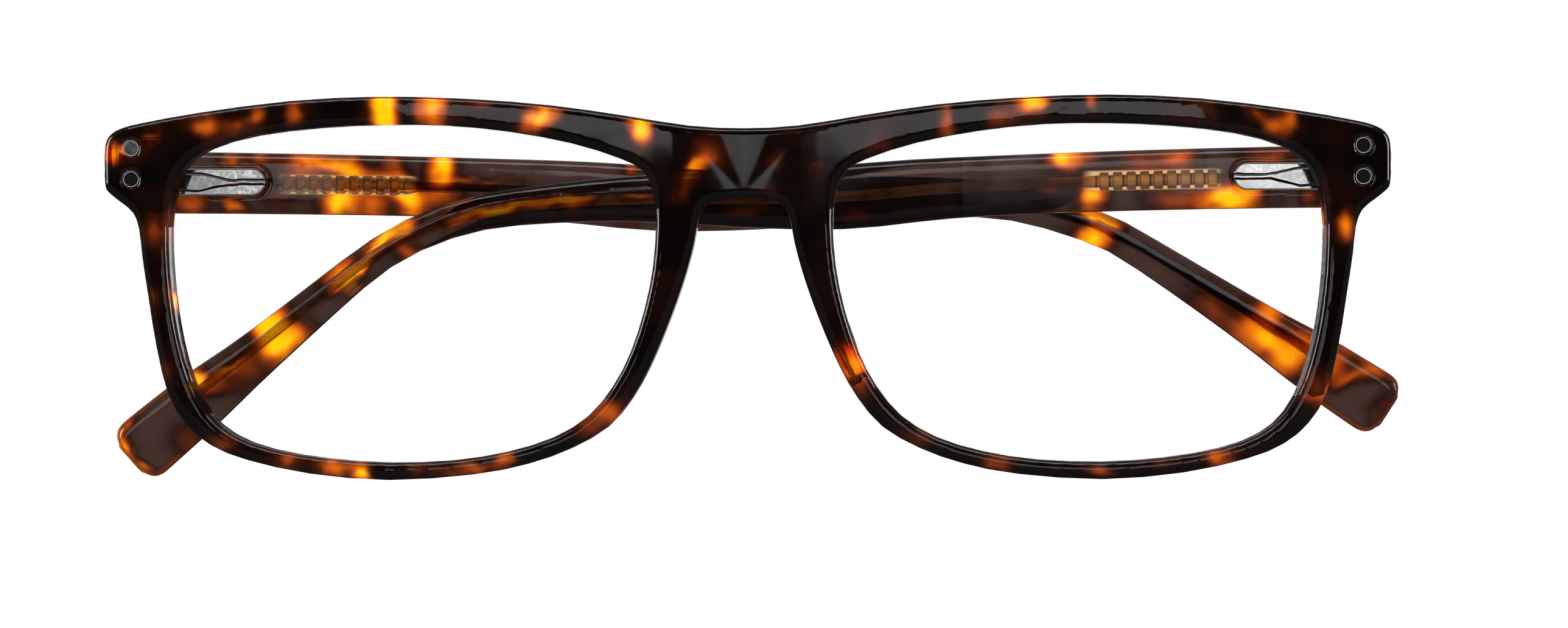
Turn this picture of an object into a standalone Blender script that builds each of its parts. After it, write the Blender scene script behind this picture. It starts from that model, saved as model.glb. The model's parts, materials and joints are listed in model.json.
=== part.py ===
"""Acetate eyeglasses frame with sprung temples, folded.

The front faces -Y, +X is the wearer's left, +Z is up. Lengths are in millimetres
until MM turns them into metres. The rims stand on Z = 0.
"""

import math

import bmesh
import bpy
from mathutils import Matrix, Vector

MM = 0.001

# Front: outline heights are above the lowest point of the rims
FRONT_THICKNESS = 4.0
FRONT_BEND_RADIUS = 450.0
FRONT_EDGE_ROUND = 0.6
DEPTH_DATUM = 11.35
FRONT_SLICE = 8.0
OUTER_HALF_OUTLINE = [
    (0, 38.45), (6, 38.75), (13, 39.85), (21, 41.0), (30, 41.75), (39.9, 42.07),
    (50, 41.65), (60, 40.45), (66.5, 39.35), (69.0, 38.75), (70.3, 38.0), (70.85, 36.8),
    (70.9, 34.4), (70.85, 32.4), (70.4, 31.6), (69.0, 30.5), (67.7, 29.4), (67.05, 27.6),
    (66.7, 24.6), (66.0, 20.0), (65.1, 14.6), (63.8, 9.4), (61.8, 6.1), (59.0, 3.8),
    (55.0, 2.2), (48, 0.7), (39.2, 0), (30, 0.6), (24, 1.75), (19.2, 3.45), (15.1, 5.8),
    (12.35, 9.0), (10.4, 12.4), (8.8, 16.0), (7.4, 19.6), (6.3, 22.9), (5.5, 25.9),
    (5.05, 28.3), (4.5, 29.7), (3.2, 30.5), (0, 30.7),
]
EYE_OUTLINE = [
    (9.7, 28.0), (9.95, 31.2), (11.0, 33.7), (13.6, 35.15), (19, 36.85), (26, 38.15),
    (33, 38.85), (40, 38.95), (47, 38.65), (54, 37.85), (59.4, 36.35), (62.4, 33.9),
    (63.6, 30.0), (63.75, 25.5), (63.4, 20.5), (62.6, 15.5), (61.3, 11.0), (59.4, 7.4),
    (56.6, 5.0), (52.3, 3.4), (46, 2.35), (39.2, 1.93), (32, 2.2), (26, 3.15), (21.0, 4.7),
    (17.2, 7.0), (14.5, 10.2), (12.5, 14.0), (11.0, 18.6), (10.05, 23.2),
]

# Lenses, set in a V groove of the rims
LENS_FRONT, LENS_BACK = 1.2, 3.0
LENS_GAP = 0.1
LENS_RIDGE = 0.6
GROOVE_GAP = 0.15

# End pieces, behind the front's ends
BUTT_Y = 11.0
END_BLOCK_OUTLINE = [
    (64.6, 30.3), (67.9, 30.3), (70.2, 32.4), (70.2, 37.5), (69.5, 38.2), (64.6, 38.5),
]
END_BLOCK_START = 6.5

# Hinges: heights of the axis centre, and how far past square each temple is folded
AXIS_X, AXIS_Y = 65.2, BUTT_Y + 1.35
KNUCKLE_RADIUS, EYE_HEIGHT, KNUCKLE_HEIGHT, KNUCKLE_GAP = 1.25, 2.0, 1.5, 0.1
SCREW_RADIUS, RUNNING_GAP = 0.6, 0.05
PLATE_LOW, PLATE_HIGH = (64.8, 10.0, 30.95), (69.4, 11.0, 37.55)
PLATE_GAP = 0.1
RIVET_RADIUS, RIVET_X, RIVET_HEIGHTS = 0.87, 67.75, {"upper": 36.5, "lower": 33.1}

# Spring hinge, in u along the temple from the axis, w towards its outer face
HOUSING_START, HOUSING_END = 2.0, 11.5
HOUSING_LOW_W, HOUSING_HIGH_W, HOUSING_HALF_HEIGHT = 0.75, 3.25, 1.52
POCKET_GAP = 0.12
BORE_W, BORE_RADIUS, MOUTH_WALL = 2.0, 0.8, 0.8
ROD_RADIUS, ROD_END = 0.42, 10.2
SPRING_RADIUS, SPRING_WIRE, SPRING_TURNS = 0.6, 0.09, 6
STOP_START, STOP_END, STOP_RADIUS = 9.0, 10.0, 0.7

# Temples: s runs along the centre line from the butt end
TEMPLE_LENGTH, TEMPLE_INNER_W, BUTT_U = 144, 1.6, -1.05
TEMPLE_CORNER = 1.1
TEMPLE_HEIGHTS = [
    (0, 6.9), (38, 6.65), (54, 7.2), (66, 6.4), (76, 5.35), (90, 4.25), (101, 3.9),
    (109, 3.8), (118, 4.4), (127, 5.35), (136, 6.85), (150, 7.5),
]
TEMPLE_THICKNESSES = [(0, 3.8), (40, 3.6), (80, 3.3), (110, 3.0), (150, 2.8)]
TIP_REACH, TIP_LEAST, TIP_EDGE_REACH, TIP_EDGE_LEAST, TIP_POWER = 2.4, 0.55, 0.9, 0.5, 2.8

# The temples' slope below the horizontal in degrees, each adjusted to its ear
LEFT_SLOPES = [
    (0, 0.5), (38, 2.5), (50, 5.5), (60, 1.0), (74, -0.5), (84, 4.0), (92, 6.5),
    (99, 18.0), (106, 30.0), (113, 39.5), (132, 39.0), (146, 42.0),
]
RIGHT_SLOPES = [
    (0, 0.5), (38, 2.0), (50, 5.0), (60, 2.0), (74, -1.5), (84, -1.0), (92, 4.5),
    (99, 16.5), (106, 22.0), (113, 32.5), (160, 32.5),
]

# Wire cores: an anchor with ribs, then a thin wire that rises towards the tip's upper edge
CORE_START, CORE_RADIUS, CORE_END_MARGIN = 14.3, 0.62, 9.5
CORE_RISE, RISE_START = 0.9, 95.0
NECK_START, NECK_RADIUS = 12.8, 0.6
RIB_COUNT, RIB_PITCH, RIB_RADIUS = 9, 1.5, 1.05
CORE_GAP = 0.1

SIDES = {
    # x is the side of the hinge, fold the angle past parallel to the front
    "left": {"x": 1, "axis_z": 33.25, "fold": -2.0, "slopes": LEFT_SLOPES},
    "right": {"x": -1, "axis_z": 32.9, "fold": 2.2, "slopes": RIGHT_SLOPES},
}

# Nose pads, glued behind the nasal rims
PAD_HALF_SIZE, PAD_CENTRE, PAD_TILT, PAD_FLARE = (1.3, 3.0, 6.2), (10.3, 4.3, 16.2), 21.0, 0.1

FINISHES = {
    "acetate": ((0.03, 0.012, 0.006, 1), 0.08, 0.0),
    "lens": ((0.9, 0.95, 0.97, 0.25), 0.02, 0.0),
    "chrome": ((0.75, 0.75, 0.76, 1), 0.12, 1.0),
    "brass": ((0.70, 0.58, 0.36, 1), 0.3, 1.0),
    "steel": ((0.55, 0.55, 0.56, 1), 0.3, 1.0),
}


def clear_scene():
    for obj in list(bpy.data.objects):
        bpy.data.objects.remove(obj, do_unlink=True)


def new_collection(name):
    made = bpy.data.collections.new(name)
    bpy.context.scene.collection.children.link(made)
    return made


def new_material(name, finish):
    colour, roughness, metallic = FINISHES[finish]
    material = bpy.data.materials.new(name)
    material.use_nodes = True
    shader = material.node_tree.nodes["Principled BSDF"]
    shader.inputs["Base Color"].default_value = colour
    shader.inputs["Alpha"].default_value = colour[3]
    shader.inputs["Roughness"].default_value = roughness
    shader.inputs["Metallic"].default_value = metallic
    material.diffuse_color = colour
    return material


# Outlines -----------------------------------------------------------------


def smooth_curve(points, steps, closed=False):
    """A Catmull-Rom curve through the points, as a list of tuples."""
    count = len(points)
    made = []
    for i in range(count if closed else count - 1):
        if closed:
            around = [points[(i + k) % count] for k in (-1, 0, 1, 2)]
        else:
            around = [points[min(max(i + k, 0), count - 1)] for k in (-1, 0, 1, 2)]
        for step in range(steps):
            made.append(catmull_rom(around, step / steps))
    return made if closed else made + [tuple(points[-1])]


def catmull_rom(around, t):
    weights = (
        -0.5 * t + t**2 - 0.5 * t**3,
        1 - 2.5 * t**2 + 1.5 * t**3,
        0.5 * t + 2 * t**2 - 1.5 * t**3,
        -0.5 * t**2 + 0.5 * t**3,
    )
    return tuple(sum(w * p[k] for w, p in zip(weights, around)) for k in (0, 1))


def read_curve(pairs, s):
    """The value at s of a smooth curve through (s, value) pairs."""
    curve = smooth_curve(pairs, 6)
    for (s0, v0), (s1, v1) in zip(curve, curve[1:]):
        if s <= s1:
            return v0 + (v1 - v0) * (s - s0) / (s1 - s0)
    return curve[-1][1]


def front_outline():
    right = OUTER_HALF_OUTLINE
    left = [(-x, z) for x, z in reversed(right[1:-1])]
    return smooth_curve(right + left, 2, closed=True)


def eye_outline(side, grow=0.0):
    """The eye opening's outline, grown outwards. side is 1 or -1."""
    loop = smooth_curve(EYE_OUTLINE, 2, closed=True)
    count = len(loop)
    grown = []
    for i, (x, z) in enumerate(loop):
        before, after = loop[i - 1], loop[(i + 1) % count]
        along = Vector((after[0] - before[0], after[1] - before[1])).normalized()
        grown.append((side * (x - along.y * grow), z + along.x * grow))
    return grown


# Solids -------------------------------------------------------------------


def to_object(bm, name="piece"):
    """A bmesh in millimetres becomes an object in metres, with its faces turned outwards."""
    bmesh.ops.remove_doubles(bm, verts=bm.verts, dist=0.002)
    bmesh.ops.recalc_face_normals(bm, faces=bm.faces)
    bmesh.ops.scale(bm, vec=(MM, MM, MM), verts=bm.verts)
    mesh = bpy.data.meshes.new(name)
    bm.to_mesh(mesh)
    bm.free()
    obj = bpy.data.objects.new(name, mesh)
    bpy.context.scene.collection.objects.link(obj)
    return obj


def box(low, high):
    bm = bmesh.new()
    bmesh.ops.create_cube(bm, size=1)
    size = [b - a for a, b in zip(low, high)]
    middle = [(a + b) / 2 for a, b in zip(low, high)]
    bmesh.ops.scale(bm, vec=size, verts=bm.verts)
    bmesh.ops.translate(bm, vec=middle, verts=bm.verts)
    return to_object(bm)


def rod(start, end, radius, sides=20):
    """A cylinder from start to end."""
    start, end = Vector(start), Vector(end)
    bm = bmesh.new()
    length = (end - start).length
    bmesh.ops.create_cone(
        bm, cap_ends=True, segments=sides, radius1=radius, radius2=radius, depth=length
    )
    turn = (end - start).to_track_quat("Z", "X").to_matrix()
    bmesh.ops.rotate(bm, matrix=turn, verts=bm.verts)
    bmesh.ops.translate(bm, vec=(start + end) / 2, verts=bm.verts)
    return to_object(bm)


def plate(loops, y_low, y_high):
    """A flat XZ outline with its holes, as thick as y_low to y_high."""
    curve = bpy.data.curves.new("outline", "CURVE")
    curve.dimensions = "2D"
    curve.fill_mode = "BOTH"
    curve.extrude = (y_high - y_low) / 2
    for loop in loops:
        spline = curve.splines.new("POLY")
        spline.points.add(len(loop) - 1)
        for point, (x, z) in zip(spline.points, loop):
            point.co = (x, z, 0, 1)
        spline.use_cyclic_u = True
    flat = bpy.data.objects.new("outline", curve)
    bpy.context.scene.collection.objects.link(flat)
    flat.matrix_world = Matrix.Rotation(math.pi / 2, 4, "X")
    bpy.context.view_layer.update()
    seen = flat.evaluated_get(bpy.context.evaluated_depsgraph_get())
    mesh = bpy.data.meshes.new_from_object(seen)
    bm = bmesh.new()
    bm.from_mesh(mesh)
    bmesh.ops.transform(bm, matrix=flat.matrix_world, verts=bm.verts)
    bmesh.ops.translate(bm, vec=(0, (y_low + y_high) / 2, 0), verts=bm.verts)
    bpy.data.objects.remove(flat)
    bpy.data.meshes.remove(mesh)
    return to_object(bm)


def loft(rings):
    """A closed skin over rings that have the same number of points."""
    bm = bmesh.new()
    rows = [[bm.verts.new(point) for point in ring] for ring in rings]
    for row, following in zip(rows, rows[1:]):
        for i in range(len(row)):
            j = (i + 1) % len(row)
            bm.faces.new((row[i], row[j], following[j], following[i]))
    bm.faces.new(rows[0])
    bm.faces.new(rows[-1])
    return to_object(bm)


def boolean(obj, other, operation="DIFFERENCE"):
    """Cuts or joins two objects and removes the second."""
    modifier = obj.modifiers.new("Boolean", "BOOLEAN")
    modifier.operation = operation
    modifier.object = other
    bpy.context.view_layer.update()
    seen = obj.evaluated_get(bpy.context.evaluated_depsgraph_get())
    mesh = bpy.data.meshes.new_from_object(seen)
    obj.modifiers.clear()
    obj.data = mesh
    bpy.data.objects.remove(other)
    return obj


def joined(first, *others):
    for other in others:
        boolean(first, other, "UNION")
    return first


def round_edges(obj, width, segments, sharper_than=50.0):
    """Rounds the edges where faces meet at more than the given angle in degrees."""
    bm = bmesh.new()
    bm.from_mesh(obj.data)
    bmesh.ops.dissolve_limit(
        bm, angle_limit=math.radians(0.05), verts=bm.verts, edges=bm.edges
    )
    limit = math.radians(sharper_than)
    sharp = [e for e in bm.edges if e.is_manifold and e.calc_face_angle() > limit]
    bmesh.ops.bevel(
        bm, geom=sharp, offset=width * MM, segments=segments, affect="EDGES", profile=0.5
    )
    bm.to_mesh(obj.data)
    bm.free()
    return obj


def bent(obj):
    """Wraps a flat piece round the face: it is sliced across, its ends go back, and its
    walls stay square to the curve."""
    bm = bmesh.new()
    bm.from_mesh(obj.data)
    reach = int(70 / FRONT_SLICE)
    for k in range(-reach, reach + 1):
        bmesh.ops.bisect_plane(
            bm,
            geom=bm.verts[:] + bm.edges[:] + bm.faces[:],
            dist=1e-7,
            plane_co=(k * FRONT_SLICE * MM, 0, 0),
            plane_no=(1, 0, 0),
        )
    for vertex in bm.verts:
        x, y = vertex.co.x / MM, vertex.co.y / MM
        vertex.co.x = x * (1 - y / FRONT_BEND_RADIUS) * MM
        vertex.co.y = (y + wrap(x)) * MM
    bm.to_mesh(obj.data)
    bm.free()
    return obj


def wrap(x):
    """How far back the front's curve has gone at x."""
    return x**2 / (2 * FRONT_BEND_RADIUS)


# Front, lenses, pads and rivets ---------------------------------------------


def lens_shape(side, gap, ridge, thicker=0.0):
    """A lens with a V edge, or with gap and ridge changed, the cutter of its groove."""
    middle = (LENS_FRONT + LENS_BACK) / 2
    sections = [
        (LENS_FRONT - thicker, -gap),
        (middle, ridge),
        (LENS_BACK + thicker, -gap),
    ]
    return loft([[(x, y, z) for x, z in eye_outline(side, grow)] for y, grow in sections])


def end_block(side):
    outline = [(side * x, z) for x, z in END_BLOCK_OUTLINE]
    return round_edges(plate([outline], END_BLOCK_START, BUTT_Y), 0.4, 2)


def rivet_span(gap):
    front = wrap(RIVET_X) - 0.05
    return front - gap * 10, PLATE_LOW[1] - PLATE_GAP - 0.05 + gap * 10


def rivet(side, height, gap=0.0):
    start, end = rivet_span(gap)
    return rod(
        (side * RIVET_X, start, height), (side * RIVET_X, end, height), RIVET_RADIUS + gap, 16
    )


def plate_box(side, gap=0.0, inwards=0.0, backwards=0.0):
    low = Vector(PLATE_LOW) - Vector((gap + inwards, gap, gap))
    high = Vector(PLATE_HIGH) + Vector((gap, backwards, gap))
    ends = sorted((side * low.x, side * high.x))
    return box((ends[0], low.y, low.z), (ends[1], high.y, high.z))


def make_front():
    eyes = [eye_outline(1), eye_outline(-1)]
    front = plate([front_outline()] + eyes, 0, FRONT_THICKNESS)
    round_edges(front, FRONT_EDGE_ROUND, 2)
    for side in (1, -1):
        boolean(front, lens_shape(side, LENS_GAP, LENS_RIDGE + GROOVE_GAP, GROOVE_GAP))
    bent(front)
    for side in (1, -1):
        joined(front, end_block(side))
        boolean(front, plate_box(side, PLATE_GAP, inwards=1.0, backwards=1.0))
        for height in RIVET_HEIGHTS.values():
            boolean(front, rivet(side, height, RUNNING_GAP))
    return front


def make_lens(side):
    return bent(lens_shape(side, LENS_GAP, LENS_RIDGE))


def make_pad(side):
    bm = bmesh.new()
    bmesh.ops.create_uvsphere(bm, u_segments=16, v_segments=10, radius=1)
    bmesh.ops.scale(bm, vec=PAD_HALF_SIZE, verts=bm.verts)
    bmesh.ops.bisect_plane(
        bm,
        geom=bm.verts[:] + bm.edges[:] + bm.faces[:],
        plane_co=(0, 0.05, 0),
        plane_no=(0, 1, 0),
        clear_inner=True,
    )
    bmesh.ops.holes_fill(bm, edges=bm.edges)
    tilt = Matrix.Rotation(math.radians(-PAD_TILT), 3, "Y")
    bmesh.ops.rotate(bm, matrix=tilt, verts=bm.verts)
    for vertex in bm.verts:
        vertex.co.x += PAD_FLARE * vertex.co.y
        vertex.co += Vector(PAD_CENTRE)
        vertex.co.x *= side
    return to_object(bm)


# Hinges ---------------------------------------------------------------------


def knuckle(height_low, height_high, radius=KNUCKLE_RADIUS, centre=(0, 0)):
    x, y = centre
    return rod((x, y, height_low), (x, y, height_high), radius, 20)


def make_hinge_plate(side, axis_z):
    """The front leaf: a plate let into the end piece, and two knuckles."""
    made = plate_box(side)
    centre = (side * AXIS_X, AXIS_Y)
    inner = EYE_HEIGHT / 2 + KNUCKLE_GAP
    for low in (inner, -inner - KNUCKLE_HEIGHT):
        z_low, z_high = axis_z + low, axis_z + low + KNUCKLE_HEIGHT
        ends = sorted((side * (AXIS_X - 0.3), side * (AXIS_X + 1.1)))
        root = max(z_low, PLATE_LOW[2])
        web = box((ends[0], BUTT_Y - 0.5, root), (ends[1], AXIS_Y - 0.1, z_high))
        joined(made, knuckle(z_low, z_high, centre=centre), web)
    bore = knuckle(axis_z - 5, axis_z + 5, SCREW_RADIUS + RUNNING_GAP, centre)
    return boolean(made, bore)


def make_hinge_screw():
    """A shaft through the knuckles, with a slotted head on top."""
    top = EYE_HEIGHT / 2 + KNUCKLE_GAP + KNUCKLE_HEIGHT
    shaft = knuckle(-top, top + 0.3, SCREW_RADIUS)
    head = knuckle(top + RUNNING_GAP, top + 0.6, KNUCKLE_RADIUS - 0.1)
    slot = box((-2, -0.15, top + 0.35), (2, 0.15, top + 1))
    return boolean(joined(shaft, head), slot)


def make_slider():
    """The sprung leaf: an eye round the screw, and a rod that runs into the housing."""
    eye = knuckle(-EYE_HEIGHT / 2, EYE_HEIGHT / 2)
    arm = box((0.2, 0.1, -0.85), (HOUSING_START - 0.3, BORE_W + 0.55, 0.85))
    bar = rod((1.5, BORE_W, 0), (ROD_END, BORE_W, 0), ROD_RADIUS, 14)
    made = joined(eye, arm, bar)
    return boolean(made, knuckle(-3, 3, SCREW_RADIUS + RUNNING_GAP))


def housing_outline(gap=0.0):
    """The housing seen from its face: square at the hinge, round at its far end."""
    half = HOUSING_HALF_HEIGHT + gap
    turn = HOUSING_END + gap - half
    arc = [
        (turn + half * math.sin(a * math.pi / 12), half * math.cos(a * math.pi / 12))
        for a in range(13)
    ]
    start = HOUSING_START if gap == 0 else BUTT_U - 1
    return [(start, half)] + arc + [(start, -half)]


def funnel_outline():
    """A shallow recess in the housing's face, wide at the hinge and narrow at the tip."""
    upper = [(HOUSING_START - 1, 1.0), (HOUSING_START + 2.4, 0.9), (6.4, 0.32), (9.6, 0.3)]
    return upper + [(u, -z) for u, z in reversed(upper)]


def make_housing():
    made = plate([housing_outline()], HOUSING_LOW_W, HOUSING_HIGH_W)
    round_edges(made, 0.18, 1)
    bore_start = HOUSING_START + MOUTH_WALL
    boolean(made, rod((bore_start, BORE_W, 0), (HOUSING_END - 0.7, BORE_W, 0), BORE_RADIUS, 16))
    boolean(made, rod((0, BORE_W, 0), (bore_start + 0.5, BORE_W, 0), ROD_RADIUS + 0.1, 14))
    return boolean(made, plate([funnel_outline()], HOUSING_LOW_W - 1, HOUSING_LOW_W + 0.25))


def make_spring():
    """A coil round the rod, between the housing's mouth and the stop."""
    start, end = HOUSING_START + MOUTH_WALL + 0.25, STOP_START - 0.25
    steps = SPRING_TURNS * 10
    curve = bpy.data.curves.new("coil", "CURVE")
    curve.dimensions = "3D"
    curve.bevel_depth = SPRING_WIRE * MM
    curve.bevel_resolution = 0
    curve.use_fill_caps = True
    spline = curve.splines.new("POLY")
    spline.points.add(steps)
    for i, point in enumerate(spline.points):
        turn = 2 * math.pi * i / 10
        place = Vector((
            start + (end - start) * i / steps,
            BORE_W + SPRING_RADIUS * math.cos(turn),
            SPRING_RADIUS * math.sin(turn),
        )) * MM
        point.co = (*place, 1)
    coil = bpy.data.objects.new("coil", curve)
    bpy.context.scene.collection.objects.link(coil)
    bpy.context.view_layer.update()
    seen = coil.evaluated_get(bpy.context.evaluated_depsgraph_get())
    mesh = bpy.data.meshes.new_from_object(seen)
    bm = bmesh.new()
    bm.from_mesh(mesh)
    bmesh.ops.scale(bm, vec=(1 / MM,) * 3, verts=bm.verts)
    bpy.data.objects.remove(coil)
    bpy.data.meshes.remove(mesh)
    return to_object(bm)


def make_stop():
    """The nut that keeps the spring on the rod."""
    nut = rod((STOP_START, BORE_W, 0), (STOP_END, BORE_W, 0), STOP_RADIUS, 6)
    hole = rod((STOP_START - 1, BORE_W, 0), (STOP_END + 1, BORE_W, 0), ROD_RADIUS + 0.04, 14)
    return boolean(nut, hole)


# Temples --------------------------------------------------------------------


def centre_line(side):
    """(s, u, z, slope) each millimetre along a temple's centre line, in radians."""
    made, u, z = [], BUTT_U, 0.0
    for s in range(TEMPLE_LENGTH + 1):
        angle = math.radians(read_curve(side["slopes"], s))
        made.append((s, u, z, angle))
        u += math.cos(angle)
        z -= math.sin(angle)
    return made


def rounded_section(height, thickness, corner):
    """A rectangle with round corners, as (w from its middle, height from its middle)."""
    corner = min(corner, 0.49 * height, 0.45 * thickness)
    across, up = thickness / 2 - corner, height / 2 - corner
    made = []
    for quarter, (a, b) in enumerate([(1, 1), (-1, 1), (-1, -1), (1, -1)]):
        for step in range(4):
            turn = math.pi / 2 * (quarter + step / 3)
            made.append((a * across + corner * math.cos(turn), b * up + corner * math.sin(turn)))
    return made


def point_on(line, s):
    """The centre line's (s, u, z, slope) at any s."""
    _, u, z, angle = line[int(s)]
    ahead = s - int(s)
    return s, u + ahead * math.cos(angle), z - ahead * math.sin(angle), angle


def temple_stations(side):
    """The centre line's points where a temple's section changes enough to matter."""
    line = centre_line(side)
    last = line[-1][0]
    spacing = [s for s in range(0, last - 3) if s % (8 if s < 32 else 4) == 0]
    spacing += [last - k for k in (3, 1.9, 1.2, 0.75, 0.4, 0.15, 0)]
    return [point_on(line, s) for s in spacing]


def tip_rounding(s, reach, least):
    """1 along the temple, falling towards least over the last reach of its length."""
    past = max(s - TEMPLE_LENGTH + reach, 0) / reach
    return max((1 - past**TIP_POWER) ** (1 / TIP_POWER), least)


def make_temple(side):
    rings = []
    for s, u, z, angle in temple_stations(side):
        height = read_curve(TEMPLE_HEIGHTS, s) * tip_rounding(s, TIP_REACH, TIP_LEAST)
        thickness = read_curve(TEMPLE_THICKNESSES, s)
        middle = TEMPLE_INNER_W + thickness / 2
        thickness *= tip_rounding(s, TIP_EDGE_REACH, TIP_EDGE_LEAST)
        up = Vector((math.sin(angle), 0, math.cos(angle)))
        rings.append([
            Vector((u, middle + a, z)) + up * b
            for a, b in rounded_section(height, thickness, TEMPLE_CORNER)
        ])
    temple = loft(rings)
    pocket = housing_outline(POCKET_GAP)
    boolean(temple, plate([pocket], TEMPLE_INNER_W - 2, HOUSING_HIGH_W + POCKET_GAP))
    return boolean(temple, core_shape(side, CORE_GAP, ribs=False))


def core_shape(side, gap=0.0, ribs=True):
    """The wire in the temple: a ribbed anchor behind the housing, then a long thin core."""
    line = centre_line(side)
    last = TEMPLE_LENGTH - CORE_END_MARGIN
    anchor_end = CORE_START + RIB_COUNT * RIB_PITCH
    stations = []
    if ribs:
        stations += [(NECK_START, NECK_RADIUS), (CORE_START - 0.1, NECK_RADIUS)]
        for k in range(RIB_COUNT):
            begin = CORE_START + k * RIB_PITCH
            profile = [(0, RIB_RADIUS), (0.62, RIB_RADIUS), (0.7, 0.7), (0.97, 0.7)]
            stations += [(begin + f * RIB_PITCH, radius) for f, radius in profile]
    else:
        stations += [(NECK_START - 0.6, RIB_RADIUS + gap), (anchor_end, RIB_RADIUS + gap)]
    begin = anchor_end + 1.6
    long_run = [begin + (last - begin) * k / 18 for k in range(19)]
    stations += [(s, CORE_RADIUS + gap) for s in long_run]
    stations.append((last + 1.2 + 2 * gap, 0.15 + gap))
    rings = []
    for s, radius in stations:
        _, u, z, angle = point_on(line, s)
        middle = TEMPLE_INNER_W + read_curve(TEMPLE_THICKNESSES, s) / 2
        up = Vector((math.sin(angle), 0, math.cos(angle)))
        centre = Vector((u, middle, z))
        centre += up * CORE_RISE * max(s - RISE_START, 0) / (last - RISE_START)
        across = Vector((0, 1, 0))
        turns = [2 * math.pi * k / 10 for k in range(10)]
        rings.append([centre + radius * (up * math.sin(t) + across * math.cos(t)) for t in turns])
    return loft(rings)


# Assembly -------------------------------------------------------------------


def mirrored(obj):
    """Turns a piece made for the right temple into one for the left."""
    obj.data.transform(Matrix.Scale(-1, 4, (1, 0, 0)))
    obj.data.flip_normals()
    return obj


def place(obj, name, finish, parent, parts):
    obj.name = obj.data.name = name
    for collection in list(obj.users_collection):
        collection.objects.unlink(obj)
    parts.objects.link(obj)
    obj.data.materials.clear()
    obj.data.materials.append(new_material(name, finish))
    obj.data.shade_smooth()
    obj.data.set_sharp_from_angle(angle=math.radians(35))
    obj.parent = parent


def new_empty(name, location, turn, parent, parts):
    empty = bpy.data.objects.new(name, None)
    parts.objects.link(empty)
    empty.location = Vector(location) * MM
    empty.rotation_euler.z = math.radians(turn)
    empty.parent = parent
    return empty


def main():
    clear_scene()
    parts = new_collection("eyeglasses_frame")
    datum = new_empty("front_datum", (0, -DEPTH_DATUM, 0), 0, None, parts)
    place(make_front(), "front", "acetate", datum, parts)
    for name, side in SIDES.items():
        x, axis_z = side["x"], side["axis_z"]
        place(make_lens(x), f"lens_{name}", "lens", datum, parts)
        place(make_pad(x), f"nose_pad_{name}", "acetate", datum, parts)
        place(make_hinge_plate(x, axis_z), f"hinge_plate_{name}", "chrome", datum, parts)
        for level, height in RIVET_HEIGHTS.items():
            place(rivet(x, height), f"rivet_{name}_{level}", "steel", datum, parts)
        axis = new_empty(
            f"hinge_axis_{name}", (x * AXIS_X, AXIS_Y, axis_z), -x * side["fold"], datum, parts
        )
        turned = [
            (make_hinge_screw(), "hinge_screw", "steel"),
            (make_slider(), "hinge_slider", "chrome"),
            (make_housing(), "spring_housing", "chrome"),
            (make_spring(), "hinge_spring", "steel"),
            (make_stop(), "slider_stop", "steel"),
            (make_temple(side), "temple", "acetate"),
            (core_shape(side), "wire_core", "brass"),
        ]
        for piece, noun, finish in turned:
            if x > 0:
                mirrored(piece)
            place(piece, f"{noun}_{name}", finish, axis, parts)


main()
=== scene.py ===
"""Looks of the folded tortoiseshell eyeglasses: fine acetate pieces, materials, light and camera.

Lengths are in millimetres until MM turns them into metres. The front faces -Y, the rims
stand on Z = 0 and X = 0 is the middle of the bridge.
"""

import json
import math

import bmesh
import bpy
from mathutils import Matrix, Vector


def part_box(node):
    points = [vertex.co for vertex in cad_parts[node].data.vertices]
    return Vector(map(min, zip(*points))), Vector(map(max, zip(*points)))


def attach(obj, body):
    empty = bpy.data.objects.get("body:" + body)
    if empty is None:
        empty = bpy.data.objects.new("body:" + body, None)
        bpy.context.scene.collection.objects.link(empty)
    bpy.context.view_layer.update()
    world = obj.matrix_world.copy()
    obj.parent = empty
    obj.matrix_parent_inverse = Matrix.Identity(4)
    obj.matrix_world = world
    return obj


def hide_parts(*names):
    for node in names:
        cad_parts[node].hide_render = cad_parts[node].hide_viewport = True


MM = 0.001

# Camera, as far from the front and as little to its side as in the photograph
CAMERA_DISTANCE, CAMERA_SIDE, CAMERA_ROLL = 900.0, 2.0, -0.11
CAMERA_TARGET = (4.36, -11.35, 18.13)
CAMERA_LENS, SENSOR_WIDTH = 189.2, 36.0

# Windows behind the camera, as (left, right, low), which the polished faces reflect
WINDOWS = [(-780, -253, 96), (-151, -84, 72), (15, 300, 96), (300, 780, 72)]
WINDOW_TOP, WINDOW_Y, WINDOW_RADIANCE = 700, -3000, 1.35

# How bright the white background is as a backlight, where the camera doesn't see it
BACKLIGHT = 1.35

# Acetate pieces: how fine the copied surface is, and how often its edges are smoothed
ACETATE_VOXEL, ACETATE_POLISH = 0.2, 5
PAD_VOXEL, PAD_POLISH = 0.16, 4

# How far a wire core is swollen to fill the channel round it
CORE_SWELL = 0.3

# Colours of the tortoiseshell pattern by its heat, which runs from dark 0 to yellow 1
FRONT_DARK, TEMPLE_DARK = (0.0035, 0.0019, 0.0013), (0.050, 0.025, 0.020)
TORTOISE_RAMP = [
    (0.18, (0.016, 0.0045, 0.0022)),
    (0.32, (0.075, 0.012, 0.003)),
    (0.46, (0.23, 0.034, 0.004)),
    (0.60, (0.52, 0.088, 0.004)),
    (0.74, (0.82, 0.21, 0.003)),
    (0.88, (0.98, 0.42, 0.002)),
    (1.0, (1.0, 0.56, 0.003)),
]

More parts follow.
